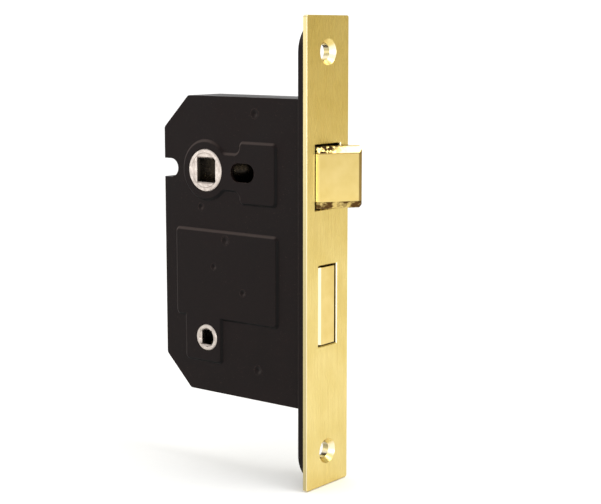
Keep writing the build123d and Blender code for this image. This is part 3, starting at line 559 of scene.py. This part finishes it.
@dataclass(frozen=True)
class CastZinc:
    """Die-cast zinc alloy, tumbled: pale grey, slightly mottled, brighter where it is rubbed.

    Its square hole and what lies inside the case get a near-black painted shade. The centre,
    the half size and the two levels across Y are in metres.
    """

    name: str
    centre_x: float
    centre_z: float
    square_half: float
    face_y: float
    inside_y: float
    colour: str = "C9BFB7"
    shade: str = "ACA199"
    # Painted shade for the square hole and for what lies inside the case.
    recess_shade: str = "1C1613"
    shade_shown: Span = (0.0, 1.0, 0.0, 0.96)
    smoothest: float = 0.22
    roughest: float = 0.42
    mottles: Mottle = Mottle(1.6, 4.0, 0.65)
    mottle_depth_mm: float = 0.02
    mottled: Span = (0.35, 0.68, 0.0, 1.0)
    pits: Mottle = Mottle(0.3, detail=2.0)
    pit_depth_mm: float = 0.006
    rubbed_mm: float = 0.3
    mouth_mm: float = 0.3
    mouth_fade_mm: float = 0.2
    shade_depth_mm: tuple[float, float] = (2.5, 0.5)
    hidden_fade_mm: float = 0.3

    def shaded_recesses(self, sheet: NodeSheet) -> Socket:
        """Where painted shade lies: in the square hole and on what the case hides.

        Args:
            sheet: The material's nodes.

        Returns:
            0 where it is left unshaded and 1 where painted shade lies.
        """
        across = sheet.off_plane("X", self.centre_x)
        upward = sheet.off_plane("Z", self.centre_z)
        depth = sheet.off_plane("Y", 0.0)
        reach = sheet.add(Kind.MATH, [across, upward], operation="MAXIMUM")
        wall = self.square_half + self.mouth_mm * MM
        mouth = [wall, wall + self.mouth_fade_mm * MM]
        inside = sheet.add(Kind.RANGE, [reach, *mouth, 1.0, 0.0])
        levels = [self.face_y - limit * MM for limit in self.shade_depth_mm]
        deep = sheet.add(Kind.RANGE, [depth, *levels, 1.0, 0.0])
        shut_in = [self.inside_y - self.hidden_fade_mm * MM, self.inside_y]
        hidden = sheet.add(Kind.RANGE, [depth, *shut_in, 1.0, 0.0])
        hole = sheet.add(Kind.MATH, [inside, deep], operation="MULTIPLY")
        return sheet.add(Kind.MATH, [hole, hidden], operation="MAXIMUM")

    def make(self) -> bpy.types.Material:
        """Build the material.

        Returns:
            The finished material.
        """
        sheet = NodeSheet(self.name)
        mottles = self.mottles.drawn(sheet)
        base = sheet.layered(
            linear(self.colour),
            (mottles, self.mottled, self.shade),
            (sheet.roundness(self.rubbed_mm), EDGE_TURN, self.colour),
            # Painted shade in the square hole and inside the case.
            (self.shaded_recesses(sheet), self.shade_shown, self.recess_shade),
        )
        rough = sheet.add(Kind.RANGE, [mottles, *NOISE_REACH, self.smoothest, self.roughest])
        wavy = sheet.add(Kind.BUMP, {"Height": mottles, "Distance": self.mottle_depth_mm * MM})
        pits = self.pits.drawn(sheet)
        fine = {"Height": pits, "Distance": self.pit_depth_mm * MM, "Normal": wavy}
        normal = sheet.add(Kind.BUMP, fine)
        return sheet.surface(Base_Color=base, Metallic=1.0, Roughness=rough, Normal=normal)


@dataclass(frozen=True)
class PlainSteel:
    """Steel with a skin of two tones and fine marks, as its maker left it."""

    name: str
    colour: str
    shade: str
    smoothest: float
    roughest: float
    bloom: Mottle
    marks: Mottle
    mark_depth_mm: float = 0.004

    def make(self) -> bpy.types.Material:
        """Build the material.

        Returns:
            The finished material.
        """
        sheet = NodeSheet(self.name)
        base = sheet.layered(linear(self.colour), (self.bloom.drawn(sheet), WHOLE, self.shade))
        marks = self.marks.drawn(sheet)
        rough = sheet.add(Kind.RANGE, [marks, *NOISE_REACH, self.smoothest, self.roughest])
        normal = sheet.add(Kind.BUMP, {"Height": marks, "Distance": self.mark_depth_mm * MM})
        return sheet.surface(Base_Color=base, Metallic=1.0, Roughness=rough, Normal=normal)


@dataclass(frozen=True)
class ZincPlate(PlainSteel):
    """Steel, sheared or turned and zinc plated: bluish grey with a fine drawn grain."""

    name: str = "zinc_plated_steel"
    colour: str = "7E8084"
    shade: str = "56585C"
    smoothest: float = 0.29
    roughest: float = 0.45
    bloom: Mottle = Mottle(3.0)
    marks: Mottle = Mottle(0.25, stretch=(10.0, 1.0, 1.0))


@dataclass(frozen=True)
class SpringSteel(PlainSteel):
    """Hard-drawn spring wire with an oiled skin: dark grey with soft cloudy marks."""

    name: str = "drawn_spring_wire"
    colour: str = "6E6B6A"
    shade: str = "3F3B39"
    smoothest: float = 0.25
    roughest: float = 0.45
    bloom: Mottle = Mottle(0.8)
    marks: Mottle = Mottle(0.8)


@dataclass(frozen=True)
class StudioPaper:
    """Seamless studio paper under and behind the lock: matt, near white, with a faint tooth."""

    name: str = "seamless_paper"
    colour: str = "FCFCFB"
    shade: str = "F8F8F7"
    roughness: float = 0.9
    tooth: Mottle = Mottle(3.0, detail=2.0)

    def coloured(self, sheet: NodeSheet) -> Socket:
        """Colour of the paper, mixed from two tones by its tooth."""
        return sheet.layered(linear(self.colour), (self.tooth.drawn(sheet), AS_IS, self.shade))

    def make(self) -> bpy.types.Material:
        """Build the material and return it."""
        sheet = NodeSheet(self.name)
        return sheet.surface(Base_Color=self.coloured(sheet), Roughness=self.roughness)


@dataclass(frozen=True)
class GreyCard(StudioPaper):
    """Warm grey card: matt, and darker than the paper, so that satin brass shades towards it.

    It is lighter near its foot, which keeps the shade on the brass gradual.
    """

    name: str = "warm_grey_card"
    colour: str = "BCB394"
    shade: str = "B3AA8B"
    foot: str = "E4DABC"
    foot_share: float = 0.2

    def coloured(self, sheet: NodeSheet) -> Socket:
        """Colour of the card, fading upwards from its foot.

        Args:
            sheet: The material's nodes.

        Returns:
            The colour.
        """
        height = sheet.add(Kind.SPLIT, [sheet.place()], "Y")
        fade = (-CARD_HALF, self.foot_share - CARD_HALF, 1.0, 0.0)
        return sheet.layered(super().coloured(sheet), (height, fade, self.foot))


@dataclass
class EdgeSoftener:
    """Joins a CAD node's facets and rounds its sharp edges with modifiers alone."""

    smooth_deg: float = 32.0
    weld_mm: float = 0.0005
    rounded_deg: float = 50.0
    segments: int = 2
    group_name: str = "weld_and_shade"

    def group(self) -> bpy.types.NodeTree:
        """Make the node group that welds points and shades edges by their angle.

        Returns:
            The geometry node group.
        """
        if self.group_name in bpy.data.node_groups:
            return bpy.data.node_groups[self.group_name]
        tree = bpy.data.node_groups.new(self.group_name, "GeometryNodeTree")
        for way in ("INPUT", "OUTPUT"):
            tree.interface.new_socket("Geometry", in_out=way, socket_type="NodeSocketGeometry")
        wiring = Wiring(tree)
        shape = wiring.add(Kind.GROUP_IN)
        shape = wiring.add(Kind.WELD, {"Geometry": shape, "Distance": self.weld_mm * MM})
        shape = wiring.add(Kind.SHADE, {"Geometry": shape}, domain="FACE")
        angle = wiring.add(Kind.EDGE_ANGLE, out="Unsigned Angle")
        limit = math.radians(self.smooth_deg)
        sharp = wiring.add(Kind.COMPARE, [angle, limit], operation="GREATER_THAN")
        edges = {"Geometry": shape, "Selection": sharp, "Shade Smooth": False}
        wiring.add(Kind.GROUP_OUT, [wiring.add(Kind.SHADE, edges, domain="EDGE")])
        return tree

    def soften(self, piece: bpy.types.Object, radius_mm: float = 0.0) -> None:
        """Weld and shade a piece, and round its sharp edges.

        Args:
            piece: The object.
            radius_mm: Width of the rounding in millimetres, or 0 for none.
        """
        weld = piece.modifiers.new("weld", "NODES")
        weld.node_group = self.group()
        if radius_mm > 0:
            bevel = piece.modifiers.new("soft_edges", "BEVEL")
            bevel.width = radius_mm * MM
            bevel.segments = self.segments
            bevel.limit_method = "ANGLE"
            bevel.angle_limit = math.radians(self.rounded_deg)
            bevel.miter_outer = "MITER_ARC"
        flat = piece.modifiers.new("flat_faces_stay_flat", "WEIGHTED_NORMAL")
        flat.mode = "FACE_AREA"
        flat.keep_sharp = True


class Finish(Protocol):
    """A named finish that can make its material."""

    name: str

    def make(self) -> bpy.types.Material:
        """Build the material and return it."""


@dataclass
class Dresser:
    """Gives CAD nodes their finish and soft edges."""

    finishes: dict[str, bpy.types.Material] = field(default_factory=dict)
    edges: EdgeSoftener = field(default_factory=EdgeSoftener)

    def finish(self, kind: Finish) -> bpy.types.Material:
        """Material of a finish, made once.

        Args:
            kind: The finish.

        Returns:
            Its material.
        """
        if kind.name not in self.finishes:
            self.finishes[kind.name] = kind.make()
        return self.finishes[kind.name]

    def dress(self, node: str, kind: Finish, radius_mm: float = 0.0) -> bpy.types.Object:
        """Give a CAD node a finish and soft edges.

        Args:
            node: The node's name.
            kind: Its finish.
            radius_mm: Width of its edges' rounding in millimetres.

        Returns:
            The node's object.
        """
        piece = frame["nodes"][node]
        material = self.finish(kind)
        for slot in piece.material_slots:
            slot.material = material
        if not piece.material_slots:
            piece.data.materials.append(material)
        self.edges.soften(piece, radius_mm)
        LOG.info("%s dressed in %s", node, material.name)
        return piece


@dataclass
class Forend:
    """The brass face plate and the black plate behind it."""

    dresser: Dresser
    inner_radius_mm: float = 0.15

    def build(self) -> None:
        """Dress both plates."""
        self.dresser.dress("outer_forend", BrushedBrass())
        self.dresser.dress("inner_forend", BlackLacquer(), self.inner_radius_mm)


@dataclass
class Case:
    """The pressed case, its cover, pillars, studs and screws."""

    dresser: Dresser
    sheet_radius_mm: float = 0.12
    plated: tuple[str, ...] = ("cap_screws", "spring_block")
    lacquered_posts: tuple[str, ...] = ("cap_pillars", "bolt_guide_studs", "follower_stop")

    def build(self) -> None:
        """Dress the case's nodes."""
        self.dresser.dress("case_body", BlackLacquer(), self.sheet_radius_mm)
        self.dresser.dress("case_cap", BlackLacquer(), self.sheet_radius_mm)
        for node in self.plated:
            self.dresser.dress(node, ZincPlate())
        for node in self.lacquered_posts:
            self.dresser.dress(node, BlackLacquer())


@dataclass
class Works:
    """The two bolts, the two followers and their springs."""

    dresser: Dresser
    latch_slope_mm: float = 2.3
    # Painted highlight on the latch's near flank.
    latch_flank_highlight: str = "FBF4DC"
    head_radius_mm: float = 0.12
    hub_radius_mm: float = 0.1
    spindle_half_mm: float = 4.05
    turn_half_mm: float = 2.55
    steel: tuple[str, ...] = ("latch_tail", "latch_rivets", "deadbolt_tail", "deadbolt_rivets")
    springs: tuple[str, ...] = ("follower_spring", "detent_spring")

    def heads(self) -> None:
        """Dress the brass heads; the latch's slopes get painted shade and reflections."""
        low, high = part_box("latch_head")
        slope = self.latch_slope_mm * MM
        # The latch's slopes get painted shade and painted reflections.
        name = "buffed_brass_with_painted_shade"
        painted_shading = LatchPaintedShading(low[2] + slope, high[2] - slope, high[0])
        latch = PolishedBrass(name, painted_shading, self.latch_flank_highlight)
        self.dresser.dress("latch_head", latch, self.head_radius_mm)
        self.dresser.dress("deadbolt_head", PolishedBrass("buffed_brass"), self.head_radius_mm)

    def follower(self, node: str, mount: str, half_mm: float) -> None:
        """Dress one follower.

        Args:
            node: Its node.
            mount: The mount at its square hole.
            half_mm: Half the square hole's size in millimetres.
        """
        places = {m["name"]: m["pos_m"] for m in frame["record"]["mounts"]}
        across, outward, up = places[mount]
        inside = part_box("case_cap")[0][1]
        half = half_mm * MM
        finish = CastZinc(f"tumbled_zinc_{node}", across, up, half, abs(outward), inside)
        self.dresser.dress(node, finish, self.hub_radius_mm)

    def build(self) -> None:
        """Dress the moving nodes and the springs."""
        self.heads()
        self.follower("handle_follower", "handle_spindle", self.spindle_half_mm)
        self.follower("bathroom_follower", "turn_spindle", self.turn_half_mm)
        for node in self.steel:
            self.dresser.dress(node, ZincPlate())
        for node in self.springs:
            self.dresser.dress(node, SpringSteel())
        LatchCoil(self.dresser).build()


@dataclass
class LatchCoil:
    """The latch's compression spring, wound here from drawn wire."""

    dresser: Dresser
    wire_radius_mm: float = 0.3
    turns: int = 12
    steps_per_turn: int = 32
    wire_sides: int = 12
    node: str = "latch_spring"
    joint: str = "latch_slide"
    slot: str = "spring_steel"

    def points(self, low: Vector, high: Vector) -> list[Vector]:
        """Points on the wire's surface, ring after ring.

        Args:
            low: Lowest corner of the spring's box.
            high: Highest corner of the spring's box.

        Returns:
            The points, wire_sides to a ring.
        """
        wire = self.wire_radius_mm * MM
        centre = (low + high) / 2
        radius = (high.y - low.y) / 2 - wire
        start, end = low.x + wire, high.x - wire
        count = self.turns * self.steps_per_turn
        rise = (end - start) / (2 * math.pi * self.turns)
        found: list[Vector] = []
        for step in range(count + 1):
            turn = 2 * math.pi * step / self.steps_per_turn
            out = Vector((0.0, math.cos(turn), math.sin(turn)))
            along = Vector((rise, -radius * out.z, radius * out.y)).normalized()
            middle = Vector((start + rise * turn, centre.y, centre.z)) + radius * out
            side = along.cross(out)
            for place in range(self.wire_sides):
                angle = 2 * math.pi * place / self.wire_sides
                found.append(middle + wire * (math.cos(angle) * out + math.sin(angle) * side))
        return found

    def faces(self) -> list[tuple[int, ...]]:
        """Faces between the rings, and one that closes each end.

        Returns:
            Each face's point numbers.
        """
        sides = self.wire_sides
        rings = self.turns * self.steps_per_turn
        found: list[tuple[int, ...]] = []
        for ring in range(rings):
            first, second = ring * sides, (ring + 1) * sides
            for place in range(sides):
                after = (place + 1) % sides
                found.append((first + place, first + after, second + after, second + place))
        found.append(tuple(reversed(range(sides))))
        found.append(tuple(rings * sides + place for place in range(sides)))
        return found

    def build(self) -> None:
        """Wind the spring and attach it to the case."""
        low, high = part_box(self.node)
        mesh = bpy.data.meshes.new("latch_coil")
        mesh.from_pydata(self.points(low, high), [], self.faces())
        mesh.shade_smooth()
        mesh.materials.append(self.dresser.finish(SpringSteel()))
        coil = bpy.data.objects.new("latch_coil", mesh)
        bpy.context.scene.collection.objects.link(coil)
        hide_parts(self.node)
        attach(coil, CASE_BODY)
        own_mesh(coil)
        LOG.info("%s wound from drawn wire", coil.name)


@dataclass(frozen=True)
class Softbox:
    """A square studio lamp: its place, the length of its side and its power in watts."""

    name: str
    at: tuple[float, float, float]
    size: float
    power: float

    def hang(self, aim: tuple[float, float, float]) -> None:
        """Add the lamp and aim it.

        Args:
            aim: The point it is aimed at.
        """
        data = bpy.data.lights.new(self.name, "AREA")
        data.size = self.size
        data.energy = self.power
        lamp = bpy.data.objects.new(self.name, data)
        lamp.location = self.at
        towards = Vector(aim) - Vector(self.at)
        lamp.rotation_euler = towards.to_track_quat("-Z", "Y").to_euler()
        bpy.context.scene.collection.objects.link(lamp)


@dataclass
class Studio:
    """Floor, light and camera."""

    dresser: Dresser
    azimuth_deg: float = 38.10
    elevation_deg: float = 8.70
    camera_at: tuple[float, float, float] = (0.276999, -0.367499, 0.071496)
    lens_mm: float = 86.52
    sensor_mm: float = 36.0
    clip_start: float = 0.01
    floor_size: float = 6.0
    floor_cells: int = 24
    floor_gap_mm: float = 0.2
    world_strength: float = 1.15
    card_towards: tuple[float, float] = (0.61, 0.78)
    card_distance: float = 0.75
    card_size: tuple[float, float] = (1.5, 0.9)
    card_cells: int = 8
    lamp_aim: tuple[float, float, float] = (-0.02, 0.0, 0.0)
    softboxes: tuple[Softbox, ...] = (
        Softbox("floor_softbox", (0.5, 0.1, 0.7), 0.4, 2.4),
        Softbox("edge_softbox", (-0.46, -0.61, 0.09), 0.3, 0.36),
        Softbox("corner_softbox", (0.74, -0.5, 0.06), 0.34, 1.0),
    )

    def panel(self, name: str, cells: int, half: float, kind: Finish) -> bpy.types.Object:
        """Make a flat square of studio material.

        Args:
            name: Its name.
            cells: How many cells it has along a side.
            half: Half its side.
            kind: Its finish.

        Returns:
            The panel, at the origin.
        """
        mesh = bpy.data.meshes.new(name)
        shape = bmesh.new()
        bmesh.ops.create_grid(shape, x_segments=cells, y_segments=cells, size=half)
        shape.to_mesh(mesh)
        shape.free()
        mesh.materials.append(self.dresser.finish(kind))
        panel = bpy.data.objects.new(name, mesh)
        bpy.context.scene.collection.objects.link(panel)
        return panel

    def floor(self) -> None:
        """Lay the paper just under the lock."""
        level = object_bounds()[0][2] - self.floor_gap_mm * MM
        floor = self.panel("studio_floor", self.floor_cells, self.floor_size / 2, StudioPaper())
        floor.location = (0.0, 0.0, level)
        floor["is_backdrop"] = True

    def world(self) -> None:
        """Set a plain white surround."""
        world = bpy.data.worlds.new("white_surround")
        world.use_nodes = True
        background = world.node_tree.nodes["Background"]
        background.inputs["Color"].default_value = (1.0, 1.0, 1.0, 1.0)
        background.inputs["Strength"].default_value = self.world_strength
        bpy.context.scene.world = world

    def card(self) -> None:
        """Stand a warm grey card beside the lock, out of view, for the forend to reflect."""
        width, height = self.card_size
        middle = Vector((0.0, 0.0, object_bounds()[0][2] + height / 2))
        away = Vector((*self.card_towards, 0.0)).normalized()
        card = self.panel("grey_card", self.card_cells, CARD_HALF, GreyCard())
        card.scale = (width, height, 1.0)
        card.location = away * self.card_distance + middle
        card.rotation_euler = away.to_track_quat("Z", "Y").to_euler()
        card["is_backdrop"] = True

    def camera(self) -> None:
        """Place the camera."""
        data = bpy.data.cameras.new("camera")
        data.lens = self.lens_mm
        data.sensor_width = self.sensor_mm
        data.clip_start = self.clip_start
        turn, lift = math.radians(self.azimuth_deg), math.radians(self.elevation_deg)
        away = (
            math.sin(turn) * math.cos(lift),
            -math.cos(turn) * math.cos(lift),
            math.sin(lift),
        )
        camera = bpy.data.objects.new("camera", data)
        camera.location = self.camera_at
        camera.rotation_euler = (-Vector(away)).to_track_quat("-Z", "Y").to_euler()
        bpy.context.scene.collection.objects.link(camera)
        bpy.context.scene.camera = camera

    def build(self) -> None:
        """Set up the whole studio."""
        bpy.context.scene.view_settings.view_transform = "Standard"
        self.world()
        self.floor()
        self.card()
        for softbox in self.softboxes:
            softbox.hang(self.lamp_aim)
        self.camera()
        LOG.info("studio ready")


def main() -> None:
    """Build each part of the lock in order, then the studio."""
    dresser = Dresser()
    steps: list[tuple[str, Callable[[], None]]] = [
        ("forend", Forend(dresser).build),
        ("case", Case(dresser).build),
        ("works", Works(dresser).build),
        ("studio", Studio(dresser).build),
    ]
    for name, build in steps:
        build()
        LOG.info("%s built", name)


if __name__ == "__main__":
    main()
